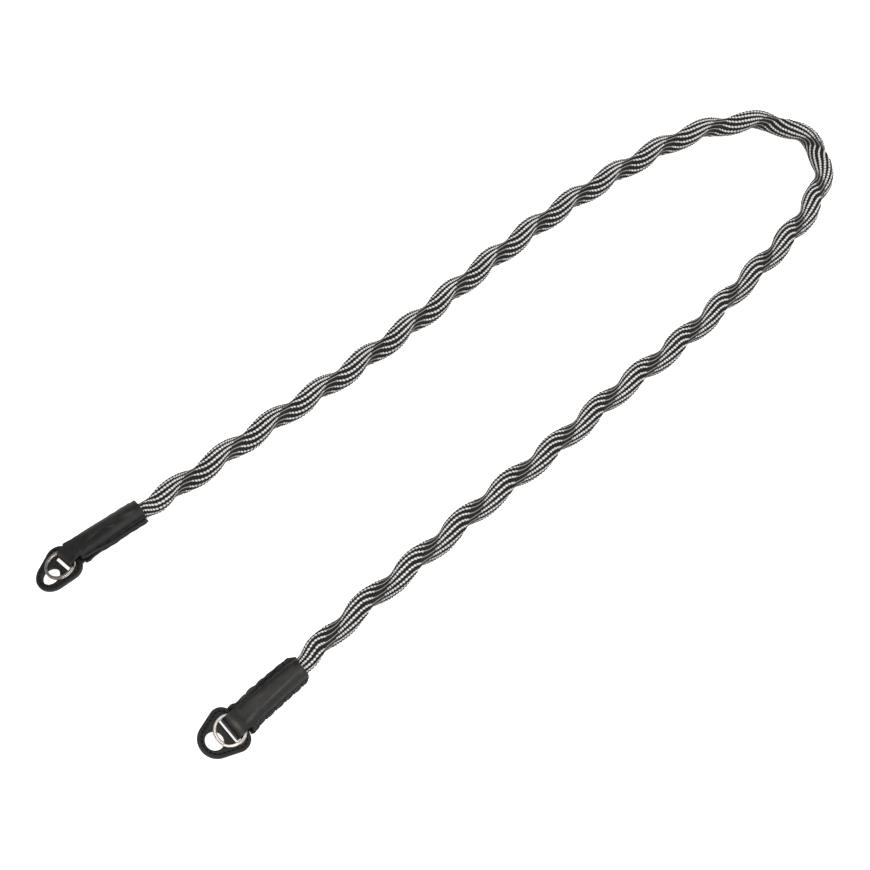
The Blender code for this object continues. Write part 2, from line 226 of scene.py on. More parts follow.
cord = {
    "route": (
        (-0.0530, -0.1451), (-0.0520, -0.1156), (-0.0505, -0.0856), (-0.0487, -0.0561),
        (-0.0481, -0.0266), (-0.0484, 0.0029), (-0.0499, 0.0329), (-0.0506, 0.0629),
        (-0.0504, 0.0924), (-0.0485, 0.1219), (-0.0453, 0.1509), (-0.0393, 0.1807),
        (-0.0337, 0.1945), (-0.0257, 0.2079), (-0.0157, 0.2183), (-0.0032, 0.2229),
        (0.0111, 0.2229), (0.0235, 0.2136), (0.0313, 0.2014), (0.0365, 0.1873),
        (0.0418, 0.1579), (0.0451, 0.1284), (0.0474, 0.0989), (0.0481, 0.0694),
        (0.0479, 0.0394), (0.0491, 0.0099), (0.0496, -0.0201), (0.0495, -0.0496),
        (0.0503, -0.0791), (0.0510, -0.1091), (0.0519, -0.1387), (0.0536, -0.1542),
    ),
    "radius": 0.0050,
    "step": 0.0008,
    "lineSteps": 6000,            # fine steps in which the route's curve and its turns are worked out
    "turnSteps": 4000,
    "lowest": 0.0001,             # above the floor
    "tip": 0.0260,                # how far each end reaches into its sleeve
    "tipPoints": 5,
    "swingSide": 0.0013,          # the corkscrew
    "swingUp": 0.0010,
    "pitchAt": (0.000, 0.150, 0.300, 0.420, 0.600, 0.750, 0.830),
    "pitch": (0.0292, 0.0283, 0.0286, 0.0277, 0.0292, 0.0301, 0.0312),
    "firstCrest": 0.0343,
    "lateAt": (0.05, 0.12, 0.18, 0.24, 0.30, 0.36, 0.42, 0.48, 0.54, 0.60, 0.66, 0.72),
    "late": (0.0016, 0.0008, 0.0009, 0.0013, 0.0011, 0.0019, 0.0023, 0.0012, 0.0009, 0.0015, 0.0016, 0.0022),
    "swingFade": 0.012,
    "pressFrom": 0.0008,          # pressed flat inside the sleeves
    "pressFade": 0.014,
    "pressedWide": (0.0042, 0.0042),
    "pressedTall": (0.0038, 0.0027),
    "rows": 24,
    "rowDrift": -0.0826,          # turns that the rows slip back in one turn of the corkscrew
    "rowShiftAt": (0.02, 0.06, 0.18, 0.28, 0.34, 0.42, 0.44, 0.46, 0.54, 0.58, 0.62, 0.66, 0.72, 0.76, 0.8),
    "rowShift": (
        -2.3, -1.4, 16.6, 11.0, 3.3, 18.0, 19.8, 8.9, -14.4, -23.8, -27.4, -47.2, -61.1, -77.8, -76.3,
    ),
    "crowding": ((1, 0.258, 0.92), (2, -0.041, -0.90)),    # the rows lie closer together near the band
    "bandAt": (0.20, 0.63),
    "bandFrom": (-36.0, -42.0),   # edges of the band, in degrees round the cord
    "bandTo": (42.0, 54.0),
    "dent": 0.184,                # depth of the dent as a share of the radius
    "dentMiddle": 20.0,
    "dentHalf": 98.0,
    "fuller": 0.04,
    "aside": 0.06,
}


def ease(x):
    x = np.clip(x, 0.0, 1.0)
    return x * x * (3.0 - 2.0 * x)


def unit(vectors):
    return vectors / np.linalg.norm(vectors, axis=1)[:, None]


def smoothLine(points):
    # a natural cubic through the points, and the distance along it
    knots = np.array([tuple(p) for p in points])
    chord = np.concatenate(([0.0], np.cumsum(np.linalg.norm(np.diff(knots, axis=0), axis=1))))
    span = np.diff(chord)
    count = len(knots)
    system, load = np.zeros((count, count)), np.zeros((count, 3))
    system[0, 0] = system[-1, -1] = 1.0
    for i in range(1, count - 1):
        system[i, i - 1 : i + 2] = span[i - 1], 2.0 * (span[i - 1] + span[i]), span[i]
        load[i] = 6.0 * ((knots[i + 1] - knots[i]) / span[i] - (knots[i] - knots[i - 1]) / span[i - 1])
    bend = np.linalg.solve(system, load)
    fine = np.linspace(0.0, chord[-1], cord["lineSteps"])
    k = np.clip(np.searchsorted(chord, fine, side="right") - 1, 0, count - 2)
    u = ((fine - chord[k]) / span[k])[:, None]
    v = 1.0 - u
    square = (span[k] ** 2 / 6.0)[:, None]
    line = v * knots[k] + u * knots[k + 1] + ((v**3 - v) * bend[k] + (u**3 - u) * bend[k + 1]) * square
    return line, np.concatenate(([0.0], np.cumsum(np.linalg.norm(np.diff(line, axis=0), axis=1))))


def pitchTurns(s):
    fine = np.linspace(cord["pitchAt"][0], cord["pitchAt"][-1], cord["turnSteps"])
    rate = 1.0 / np.interp(fine, cord["pitchAt"], cord["pitch"])
    turns = np.concatenate(([0.0], np.cumsum((rate[1:] + rate[:-1]) / 2.0 * np.diff(fine))))
    crest = s - np.interp(s, cord["lateAt"], cord["late"])
    return np.interp(crest, fine, turns) - np.interp(cord["firstCrest"], fine, turns)


def readRoute():
    # the corkscrew line at even steps, with how its cross-section lies there
    inside = np.linspace(cord["tip"], 0.0, cord["tipPoints"])
    points = [endPoint("left", (x, 0.0, 0.0)) for x in inside]
    points += [Vector((x, y, cord["radius"] + cord["swingUp"])) for x, y in cord["route"]]
    points += [endPoint("right", (x, 0.0, 0.0)) for x in reversed(inside)]
    line, travelled = smoothLine(points)
    stations = np.linspace(0.0, travelled[-1], round(travelled[-1] / cord["step"]) + 1)
    centre = np.stack([np.interp(stations, travelled, line[:, k]) for k in range(3)], axis=1)
    heading = unit(np.gradient(centre, axis=0))
    side = unit(np.cross(heading, (0.0, 0.0, 1.0)))
    up = np.cross(side, heading)
    free = np.minimum(stations - cord["tip"], travelled[-1] - cord["tip"] - stations)
    swing = ease(free / cord["swingFade"])[:, None]
    turns = pitchTurns(stations - cord["tip"])
    phase = 2.0 * math.pi * turns[:, None]
    corkscrew = cord["swingSide"] * np.cos(phase) * side + cord["swingUp"] * np.sin(phase) * up
    centre = centre + swing * corkscrew
    pressed = 1.0 - ease((free - cord["pressFrom"]) / cord["pressFade"])
    deep = np.clip(-free / cord["tip"], 0.0, 1.0)
    sizes = []
    for mouth, tip in (cord["pressedWide"], cord["pressedTall"]):
        sizes.append(cord["radius"] + pressed * (mouth + deep * (tip - mouth) - cord["radius"]))
    heading = unit(np.gradient(centre, axis=0))
    names = np.where(stations < travelled[-1] / 2, "left", "right")
    leatherUp = [endFrame(name, max(0.0, -x))[1] @ Vector((0.0, 0.0, 1.0)) for name, x in zip(names, free)]
    up = up * (1.0 - pressed)[:, None] + np.array([tuple(v) for v in leatherUp]) * pressed[:, None]
    side = unit(np.cross(heading, up))
    return {
        "s": stations - cord["tip"],
        "length": float(travelled[-1] - 2 * cord["tip"]),
        "turns": turns,
        "columns": np.hstack([centre, side, np.cross(side, heading), np.array(sizes).T, swing]),
    }


route = readRoute()
girth = 2.0 * math.pi * cord["radius"]


def rowAngle(s, across):
    # where a row comes to lie round the cord, and how far that is from the dent's middle
    turns = np.interp(s, route["s"], route["turns"])
    even = across / cord["radius"] + 2.0 * math.pi * cord["rowDrift"] * turns
    even = even + np.radians(np.interp(s, cord["rowShiftAt"], cord["rowShift"]))
    band = 2.0 * math.pi * turns + math.pi
    angle = even
    for _ in range(8):    # enough for it to settle
        angle = even - sum(share * np.sin(n * (angle - band - late)) for n, share, late in cord["crowding"])
    return angle, angle - band


def dented(off):
    # the cord's radius against a round one, by the distance from the dent's middle
    near = (off - math.radians(cord["dentMiddle"]) + math.pi) % (2.0 * math.pi) - math.pi
    near = np.clip(near / math.radians(cord["dentHalf"]), -1.0, 1.0)
    hollow = cord["dent"] * np.cos(math.pi / 2.0 * near) ** 2
    return cord["fuller"] + cord["aside"] * np.cos(off) - hollow


def onCord(points):
    # x along the cord from the left mouth, y round it at its full radius, z out from its middle
    s, across, height = points.T
    at = [np.interp(s, route["s"], column) for column in route["columns"].T]
    centre, side, up = (np.stack(at[i : i + 3], axis=1) for i in (0, 3, 6))
    angle, off = rowAngle(s, across)
    wide, tall, swing = at[9:]
    share = height / cord["radius"] * (1.0 + swing * dented(off))
    sideways, upwards = (wide * share * np.cos(angle))[:, None], (tall * share * np.sin(angle))[:, None]
    placed = centre + sideways * side + upwards * up
    placed[:, 2] = np.maximum(placed[:, 2], cord["lowest"])    # pressed flat where it lies
    return placed


def bandShare(s, across):
    # counts the times that a row has crossed the band, and goes on evenly between: a whole number
    # where the row leaves the band, and the band's own share before the next one where it meets it
    off = rowAngle(s, across)[1]
    leave = np.radians(np.interp(s, cord["bandAt"], cord["bandFrom"]))
    meet = np.radians(np.interp(s, cord["bandAt"], cord["bandTo"]))
    past = (leave - off) / (2.0 * math.pi)
    return past, 1.0 - (meet - leave) / (2.0 * math.pi)


coreLook = {
    "step": 0.0016,
    "facesPerRow": 4,
    "underStitches": 0.00442,      # radius below the stitches
    "rib": 0.00486,                # top of a black row in the sunk band
    "groove": 0.00455,
    "bandEdge": 0.02,              # over which share of a turn the band sinks in
    "weld": 0.00001,
}

knitBlack = yarnFinish("black yarn", "1a1a1b", "282829", 0.05)
knitWhite = yarnFinish("white yarn", "dedad5", "faf8f5", 0.05)
# the white yarn painted grey, as shade, for the threads in the dented band
knitWhiteShaded = yarnFinish("white yarn drawn tight, painted grey as shade", "8f8b87", "b3afab", 0.03)


def buildCore():
    first, last = route["s"][0], route["s"][-1]
    bm = bmesh.new()
    bmesh.ops.create_grid(
        bm,
        x_segments=round((last - first) / coreLook["step"]),
        y_segments=cord["rows"] * coreLook["facesPerRow"],
        size=0.5,
    )
    flat = np.array([v.co for v in bm.verts])
    s = first + (flat[:, 0] + 0.5) * (last - first)
    across = (flat[:, 1] + 0.5) * girth
    pair = 2.0 * girth / cord["rows"]
    # nothing over a white row, full over a black one
    hump = np.abs(np.sin(math.pi * across / pair)) ** 0.5
    rib = coreLook["groove"] + (coreLook["rib"] - coreLook["groove"]) * hump
    past, stitched = bandShare(s, across)
    into = np.minimum(past % 1.0 - stitched, 1.0 - past % 1.0)    # above zero inside the band
    sunk = ease(into / coreLook["bandEdge"] + 0.5)
    radius = coreLook["underStitches"] + sunk * (rib - coreLook["underStitches"])
    for vert, place in zip(bm.verts, onCord(np.stack([s, across, radius], axis=1))):
        vert.co = place
    bmesh.ops.remove_doubles(bm, verts=bm.verts, dist=coreLook["weld"])
    bmesh.ops.holes_fill(bm, edges=[e for e in bm.edges if e.is_boundary])
    bmesh.ops.recalc_face_normals(bm, faces=bm.faces)
    mesh = bpy.data.meshes.new("cordCore")
    bm.to_mesh(mesh)
    bm.free()
    return finishPiece("cordCore", mesh, [knitBlack], ["cord"])


stitches = {
    "pitch": 0.00133,
    # the first stitches of a stretch are longer by this share, the last ones shorter
    "opening": 0.14,
    "uneven": 0.03,
    "scatter": (0.00003, 0.00003, 0.00002),
    "rings": 4,
    "overrun": 0.004,              # rows are followed this far past the mouths, in steps of "search"
    "search": 0.0001,
    "long": (0.485, 0.50, 0.46),   # half a stitch, as a share of its room, from a stretch's start to its end
    "white": {"wide": (0.00050, 0.00077, 0.00098), "tall": 0.00050, "radius": 0.00443, "round": 8},
    "black": {"wide": (0.00080, 0.00066, 0.00060), "tall": 0.00058, "radius": 0.00450, "round": 6},
}
chance = np.random.default_rng(11)


def repeatShape(name, shape, places, sizes):
    # the shape once for every row of places, flat beside each other, then wrapped on the cord
    once = bpy.data.meshes.new(name + "_once")
    shape.to_mesh(once)
    shape.free()
    corners = np.array([v.co for v in once.vertices])
    bm = bmesh.new()
    for _ in places:
        bm.from_mesh(once)
    mesh = bpy.data.meshes.new(name)
    bm.to_mesh(mesh)
    bm.free()
    bpy.data.meshes.remove(once)
    flat = (corners[None] * sizes[:, None] + places[:, None]).reshape(-1, 3)
    mesh.vertices.foreach_set("co", onCord(flat).astype(np.float32).ravel())
    mesh.update()
    return mesh


def stretches(row):
    # where a row runs stitched, from band to band, as pairs of distances along the cord
    across = girth * row / cord["rows"]
    fine = np.arange(-stitches["overrun"], route["length"] + stitches["overrun"], stitches["search"])
    past, stitched = bandShare(fine, np.full(len(fine), across))
    shown = past % 1.0 < stitched
    edges = np.flatnonzero(np.diff(shown.astype(int)))
    marks = [0, *edges, len(fine) - 1]
    return across, [(fine[i], fine[j], bool(shown[i + 1])) for i, j in zip(marks, marks[1:])]


def buildStitches(name, look, rowNumbers, material):
    # one small rounded stitch, repeated along the stitched stretches of its rows
    places, sizes = [], []
    for row in rowNumbers:
        across, parts = stretches(row)
        for start, stop, stitched in parts:
            count = round((stop - start) / stitches["pitch"])
            if not stitched or count < 1:
                continue
            along = (np.arange(count) + 0.5) / count
            eased = along + stitches["opening"] * (along - along**2)
            long = (stop - start) / count * (1.0 + stitches["opening"] * (1.0 - 2.0 * along))
            long *= np.interp(along, (0.0, 0.5, 1.0), stitches["long"])
            wide = np.interp(along, (0.0, 0.5, 1.0), look["wide"])
            level = np.full(count, look["radius"])
            places.append(np.stack([start + (stop - start) * eased, across + 0.0 * along, level], axis=1))
            sizes.append(np.stack([long, wide, np.full(count, look["tall"])], axis=1))
    places, sizes = np.concatenate(places), np.concatenate(sizes)
    sizes *= 1.0 + chance.normal(0.0, stitches["uneven"], sizes.shape)
    places += chance.normal(0.0, 1.0, places.shape) * stitches["scatter"]
    bead = bmesh.new()
    bmesh.ops.create_uvsphere(bead, u_segments=look["round"], v_segments=stitches["rings"], radius=1.0)
    return finishPiece(name, repeatShape(name, bead, places, sizes), [material])


tightThread = {"wide": 0.00026, "tall": 0.00020, "radius": 0.00470, "cuts": 7, "overlap": 0.0008}


def buildTightThreads():
    # across the band the white rows show as thin drawn threads between the black ones, their white yarn
    # painted grey as the dented band's shade
    places, sizes = [], []
    for row in range(0, cord["rows"], 2):
        across, parts = stretches(row)
        for start, stop, stitched in parts:
            if not stitched:
                places.append(((start + stop) / 2, across, tightThread["radius"]))
                half = (stop - start) / 2 + tightThread["overlap"]
                sizes.append((half, tightThread["wide"], tightThread["tall"]))
    bar = bmesh.new()
    bmesh.ops.create_cube(bar, size=2.0)
    lengthwise = [e for e in bar.edges if e.verts[0].co.x != e.verts[1].co.x]
    bmesh.ops.subdivide_edges(bar, edges=lengthwise, cuts=tightThread["cuts"])
    mesh = repeatShape("cordTightThreads", bar, np.array(places), np.array(sizes))
    return finishPiece("cordTightThreads", mesh, [knitWhiteShaded])


core = buildCore()
rowSets = {"white": range(0, cord["rows"], 2), "black": range(1, cord["rows"], 2)}
onTheCord = [buildTightThreads()]
for tone, material in (("white", knitWhite), ("black", knitBlack)):
    for half in (0, 1):
        name = f"cordStitches_{tone}_{half + 1}"
        onTheCord.append(buildStitches(name, stitches[tone], list(rowSets[tone])[half::2], material))

# Leather. Each sleeve is one strip, folded through the guard's slot and stitched to itself along both edges

sleeve = {
    "thickness": 0.00127,
    # x, rim's half width and half height, crown's half width, top, bottom, squareness
    "sections": (
        (0.0000, 0.0064, 0.0013, 0.0055, 0.0054, 0.0054, 2.0),
        (0.0010, 0.0070, 0.0013, 0.0056, 0.0054, 0.0054, 2.0),
        (0.0030, 0.0073, 0.0013, 0.0056, 0.0054, 0.0053, 2.0),
        (0.0120, 0.0073, 0.0013, 0.0056, 0.0052, 0.0050, 2.1),
        (0.0220, 0.0074, 0.0014, 0.0058, 0.0049, 0.0042, 2.4),
        (0.0290, 0.0076, 0.0018, 0.0062, 0.0046, 0.0032, 2.9),
        (0.0330, 0.0079, 0.0026, 0.0066, 0.0045, 0.0027, 3.4),
        (0.0352, 0.0078, 0.0026, 0.0066, 0.0045, 0.0027, 3.6),
    ),
    "widthShare": {"left": (1.03, 0.90), "right": (0.95, 1.00)},
    # how much fuller each side is than the section above, along x
    "spreadAt": (0.0, 0.0020, 0.0040, 0.0080, 0.0120, 0.0160, 0.0200, 0.0240, 0.0280, 0.0320, 0.0340, 0.0352),
    "spread": {
        "left": {
            -1: (
                0.0011, 0.0010, 0.0012, 0.0014, 0.0016, 0.0017,
                0.0013, 0.0002, -0.0006, -0.0007, 0.0001, 0.0006,
            ),
            1: (0.0002, 0.0002, 0.0001, 0.0, 0.0, 0.0002, 0.0007, 0.0009, 0.0007, 0.0004, -0.0004, -0.0006),
        },
        "right": {
            -1: (
                -0.0013, -0.0009, -0.0003, 0.0, 0.0001, 0.0003,
                0.0003, 0.0005, -0.0001, -0.0006, 0.0, 0.0002,
            ),
            1: (0.0001, -0.0001, 0.0, 0.0001, 0.0, 0.0, -0.0001, -0.0003, -0.0006, -0.0002, 0.0, 0.0),
        },
    },
    "end": 0.0352,
    # how far each side's shoulder stops short of the end, at the tongue and at the rim
    "short": {
        "left": {-1: (0.0002, -0.0006), 1: (0.0012, 0.0001)},
        "right": {-1: (0.0004, -0.0005), 1: (0.0020, 0.0018)},
    },
    "lowerShort": {"left": 0.0, "right": -0.0002},
    "lowerShortAt": (0.0050, 0.0012),          # how far out it begins, and over what width
    "shoulderFrom": 0.0250,
    "shoulderRim": 0.0078,
    "mouthRound": {-1: 0.0014, 1: 0.0007},
    "mouthRoundAt": (0.0050, 0.0018, 0.0030),   # how far out it begins, over what width and what length
    "mouthLean": {"left": 0.0, "right": 0.0016},
    "mouthLeanAt": (0.0010, 0.0050, 0.0080),
    "tongueHalf": {"left": {-1: 0.0053, 1: 0.0053}, "right": {-1: 0.0055, 1: 0.0060}},
    "flare": {"left": {-1: 0.0007, 1: -0.0002}, "right": {-1: 0.0004, 1: -0.0011}},
    "tongueTop": 0.00445,
    "tongueBottom": -0.0026,
    "foldX": 0.0413,
    "foldRadius": (0.0029, 0.0021),
    "foldSide": (0.0010, 0.0004, -0.0001),      # heights between the two bends
    "foldArcs": (13, 10),
    "foldStep": 0.0005,
    "rootLength": 0.0030,                       # in which the sleeve's crown flattens into the tongue
    "step": 0.00055,
    "crownSteps": 41,
    "outerColumns": 11,
    "innerColumns": 18,
    "stitchFirst": {"left": 0.0047, "right": 0.0049},
    "stitchPitch": {"left": 0.0053, "right": 0.0051},
    "stitchCount": 6,
    "scallop": {"left": 0.00012, "right": 0.00048},
    "scallopMiddle": 0.62,
    "pinch": 0.00012,                           # how much thinner a stitch pulls the rim
    "pinchPower": 1.6,
    # brown rub with painted sheen on the lower layer, along the strip's edges and along the tongue's edges
    "lowerRubAndSheen": 0.1,
    "borderRubAndSheen": 0.30,
    "tongueRubAndSheen": 0.6,
    "insideOut": (0.015, 0.0052),               # x and height of a place that surely is on the upper side
    "edgeRounding": 0.00022,
    "edgeAngle": 50.0,
    # dents and folds of the upper side: x, y, half length, half width, turn in degrees, height, and rub with
    # painted light (above zero brown rub with painted sheen, below zero painted shade)
    "folds": {
        "left": (
            (0.0160, -0.0034, 0.0160, 0.0007, 1.5, 0.00014, 0.30),
            (0.0060, 0.0020, 0.0040, 0.0012, -8.0, 0.00010, 0.75),
            (0.0160, 0.0023, 0.0022, 0.0006, -18.0, 0.00012, 0.80),
            (0.0250, 0.0018, 0.0052, 0.0005, 9.0, 0.00016, 0.75),
            (0.0228, 0.0006, 0.0050, 0.0005, 16.0, -0.00014, 0.00),
            (0.0262, -0.0020, 0.0050, 0.0010, 5.0, 0.00010, 0.40),
            (0.0120, 0.0002, 0.0040, 0.0008, -22.0, -0.00012, 0.00),
            (0.0312, 0.0026, 0.0030, 0.0007, -25.0, -0.00016, 0.00),
            (0.0330, 0.0042, 0.0012, 0.0006, 60.0, 0.00010, 0.60),
            # a pressed groove, painted with shade
            (0.0150, 0.0066, 0.0150, 0.0004, 0.5, -0.00030, -0.70),
        ),
        "right": (
            (0.0150, 0.0015, 0.0140, 0.0006, 2.0, 0.00022, 0.70),
            (0.0318, 0.0024, 0.0040, 0.0009, 9.0, 0.00020, 0.80),
            (0.0020, 0.0018, 0.0022, 0.0014, 30.0, 0.00006, 0.55),
            (0.0180, -0.0035, 0.0130, 0.0009, -1.0, 0.00008, 0.20),
            (0.0300, 0.0042, 0.0050, 0.0010, -6.0, -0.00014, 0.00),
            (0.0345, -0.0010, 0.0020, 0.0030, 0.0, -0.00018, 0.00),
            (0.0388, 0.0008, 0.0014, 0.0036, 0.0, 0.00003, 0.75),
            (0.0330, -0.0048, 0.0030, 0.0008, 12.0, 0.00008, 0.30),
            (0.0100, -0.0014, 0.0060, 0.0012, 5.0, -0.00008, 0.0),
            (0.0225, -0.0022, 0.0045, 0.0010, -7.0, 0.00008, 0.35),
            (0.0265, 0.0006, 0.0030, 0.0006, 24.0, 0.00008, 0.40),
            (0.0070, 0.0034, 0.0035, 0.0006, -12.0, 0.00007, 0.35),
            # a pressed groove, painted with shade
            (0.0150, -0.0058, 0.0140, 0.0007, 0.0, -0.00085, -0.9),
        ),
    },
}


def leatherFinish(name, deep, pale, rubAndPaintedLight, roughness, bump):
    # fine pebbled grain, cloudy dye, brown rub mixed with painted sheen where the mesh attribute marks folds
    # and edges, and painted shade where it is below zero
    made = Finish(name, Specular_IOR_Level=0.41)
    pebble = made.add("ShaderNodeTexVoronoi", {"feature": "F1"}, {"Vector": made.place(), "Scale": 2600.0})
    grain = made.noise(3400.0, 3.0, 0.6)
    cloud = made.noise(260.0, 3.0, 0.5)
    streak = made.noise(900.0, 3.0, 0.6)
    rubSheenShade = made.add("ShaderNodeAttribute", {"attribute_name": "rubSheenShade"}, output="Fac")
    wornAndSheen = made.steps(rubSheenShade * (0.35 + 0.9 * streak), 0.05, 0.85)
    dye = made.blend(made.steps(cloud, 0.3, 0.7), srgb(deep), srgb(pale))
    speck = made.steps(grain, 0.60, 0.76)
    dye = made.blend(speck * 0.22, dye, srgb(rubAndPaintedLight))
    # painted shade: the dye goes near black where the attribute is below zero, along the pressed grooves
    dye = made.blend(made.steps(rubSheenShade * -1.0, 0.0, 1.0), dye, srgb("090909"))
    return made.feed(
        # brown rub and painted sheen on folds, creases and edges
        Base_Color=made.blend(wornAndSheen * 0.85, dye, srgb(rubAndPaintedLight)),
        Roughness=roughness + 0.16 * grain - 0.14 * wornAndSheen,
        Normal=made.bump(pebble * 0.5 + grain * 0.5, bump, 0.00010, under=made.bump(cloud, 0.30, 0.0006)),
    )


# the two ends are one leather in two copies: the far end's copy is painted darker, as shade, than the near
# end's
leather = {
    "left": leatherFinish("black leather, far end", "0a0a0a", "1a1918", "4b4540", 0.52, 0.75),
    "right": leatherFinish("black leather, near end", "121110", "21201f", "4f463f", 0.51, 0.65),
}
leatherEdge = leatherFinish("cut leather edge", "141312", "201d1b", "302a26", 0.68, 0.80)
threadFinish = yarnFinish("waxed black thread", "0c0c0c", "191919", 0.02)
# black thread in the guards' stitch holes, painted darker than the thread as the holes' shade
pitShadeFinish = yarnFinish("stitch hole, black thread with painted shade", "050505", "0b0b0b", 0.0)


def foldsAt(name, x, y):
    height = rubSheenShade = shade = 0.0
    for fx, fy, halfLength, halfWidth, turn, rise, rubAndPaintedLight in sleeve["folds"][name]:
        c, s = math.cos(math.radians(turn)), math.sin(math.radians(turn))
        along, aside = (x - fx) * c + (y - fy) * s, (y - fy) * c - (x - fx) * s
        near = math.exp(-((along / halfLength) ** 2) - (aside / halfWidth) ** 2)
        height += rise * near
        # above zero a fold is brown rub with painted sheen; below zero it is painted shade in a groove
        rubSheenShade = max(rubSheenShade, rubAndPaintedLight * near)
        shade = min(shade, rubAndPaintedLight * near)
    return height, rubSheenShade + shade


def sectionLine(name, x, layer):
    # one layer's outer side from rim to rim, as evenly walked columns with a column on each tongue edge
    columns = np.array(sleeve["sections"]).T
    rim, half, crown, top, bottom, square = (float(np.interp(x, columns[0], c)) for c in columns[1:])
    rim *= float(np.interp(x, (0.0, sleeve["end"]), sleeve["widthShare"][name]))
    turn = 2.0 * math.pi * (x - sleeve["stitchFirst"][name]) / sleeve["stitchPitch"][name]
    pull = (0.5 + 0.5 * math.cos(turn)) ** sleeve["pinchPower"]
    half -= sleeve["pinch"] * pull
    turns = np.linspace(math.pi / 2, -math.pi / 2, sleeve["crownSteps"])
    power = 2.0 / square
    across = np.sign(turns) * np.abs(np.sin(turns)) ** power * crown
    up = half + ((top if layer > 0 else bottom) - half) * np.abs(np.cos(turns)) ** power
    edge = rim + sleeve["scallop"][name] * (sleeve["scallopMiddle"] - pull)
    flat = (edge + crown) / 2
    line = np.array([(edge, half), (flat, half), *zip(across, up), (-flat, half), (-edge, half)])
    for side in (1, -1):
        spread = float(np.interp(x, sleeve["spreadAt"], sleeve["spread"][name][side]))
        line[:, 0] += side * spread * ease(side * line[:, 0] / crown)
    walked = np.concatenate(([0.0], np.cumsum(np.hypot(*np.diff(line, axis=0).T))))
    halves = sleeve["tongueHalf"][name]
    first, second = (float(np.interp(v, -line[:, 0], walked)) for v in (-halves[1], halves[-1]))
    inner, outer = sleeve["innerColumns"], sleeve["outerColumns"]
    marks = np.concatenate(
        [
            np.linspace(0.0, first, outer + 1),
            np.linspace(first, second, inner + 1)[1:-1],
            np.linspace(second, walked[-1], outer + 1),
        ]
    )
    return np.interp(marks, walked, line[:, 0]), np.interp(marks, walked, line[:, 1]) * layer


def towardsEnd(x):
    # 0 along most of the sleeve, rising to 1 at its end
    return float(ease((x - sleeve["shoulderFrom"]) / (sleeve["end"] - sleeve["shoulderFrom"])))


def shortened(name, x, y):
    # the shoulders beside the tongue stop short of the sleeve's end, and the mouth is rounded and leans
    side = 1 if y > 0.0 else -1
    inner, outer = sleeve["tongueHalf"][name][side], sleeve["shoulderRim"]
    near, far = sleeve["short"][name][side]
    share = (abs(y) - inner) / (outer - inner)
    if share < 0.0:
        back = near * float(ease(1.0 + share * 2.0))
    else:
        back = near + (far - near) * min(share, 1.2)
    begin, wide, long = sleeve["mouthLeanAt"]
    mouth = sleeve["mouthLean"][name] * float(ease((-y - begin) / wide) * ease(1.0 - x / long))
    begin, wide, long = sleeve["mouthRoundAt"]
    mouth -= sleeve["mouthRound"][side] * float(ease((abs(y) - begin) / wide) * ease(1.0 - x / long))
    return x - back * towardsEnd(x) - mouth


def foldPath():
    # the tongue's outer side, from the sleeve's end round the fold and back under it
    end, foldX, step = sleeve["end"], sleeve["foldX"], sleeve["foldStep"]
    high, low = sleeve["tongueTop"], sleeve["tongueBottom"]
    upper, lower = sleeve["foldRadius"]
    upperArc, lowerArc = (np.linspace(0.0, math.pi / 2, count) for count in sleeve["foldArcs"])
    points = [(x, high) for x in np.arange(end + step, foldX - upper, step)]
    for a in upperArc:
        points.append((foldX - upper + upper * math.sin(a), high - upper + upper * math.cos(a)))
    points += [(foldX, z) for z in sleeve["foldSide"]]
    for a in lowerArc:
        points.append((foldX - lower + lower * math.cos(a), low + lower - lower * math.sin(a)))
    points += [(x, low) for x in np.arange(foldX - lower - step, end, -step)]
    return points


def tongueRow(name, x, z, roots, count):
    # one row across the tongue; its outer columns are only there to fill the grid and are deleted later
    layer = 1 if z > 0.0 else -1
    away = (x - sleeve["end"]) / sleeve["rootLength"]
    near, settle = max(0.0, 1.0 - away) ** 2, float(ease(away))
    row = []
    for j in range(count):
        share = 1.0 - 2.0 * (j - sleeve["outerColumns"]) / sleeve["innerColumns"]
        side = 1 if share > 0.0 else -1
        y = (sleeve["tongueHalf"][name][side] + near * sleeve["flare"][name][side]) * share
        root = roots[layer][j] - layer * abs(sleeve["tongueTop" if layer > 0 else "tongueBottom"])
        # the lower layer gets a faint brown rub with painted sheen all over
        height, rubSheenShade = foldsAt(name, x, y) if layer > 0 else (0.0, sleeve["lowerRubAndSheen"])
        row.append((x, y, z + root * (1.0 - settle) + height * (1.0 - settle), rubSheenShade))
    return row


def sleeveRows(name):
    # the strip's rows as x, y, z and rub: upper layer, tongue, and lower layer back to the mouth
    stations = list(np.arange(0.0, sleeve["end"], sleeve["step"])) + [sleeve["end"]]
    upper, lower = [], []
    for x in stations:
        y, z = sectionLine(name, x, 1)
        lift = [foldsAt(name, x, v) for v in y]
        upper.append([(shortened(name, x, v), v, w + f[0], f[1]) for v, w, f in zip(y, z, lift)])
    roots = {layer: sectionLine(name, sleeve["end"], layer)[1] for layer in (1, -1)}
    tongue = [tongueRow(name, x, z, roots, len(upper[0])) for x, z in foldPath()]
    begin, wide = sleeve["lowerShortAt"]
    for x in reversed(stations):
        y, z = sectionLine(name, x, -1)
        beyond = sleeve["lowerShort"][name] * towardsEnd(x)
        tucked = [beyond * float(ease((abs(v) - begin) / wide)) for v in y]
        lower.append([(shortened(name, x, v) - b, v, w, sleeve["lowerRubAndSheen"]) for v, w, b in zip(y, z, tucked)])
    return upper + tongue + lower, len(stations)


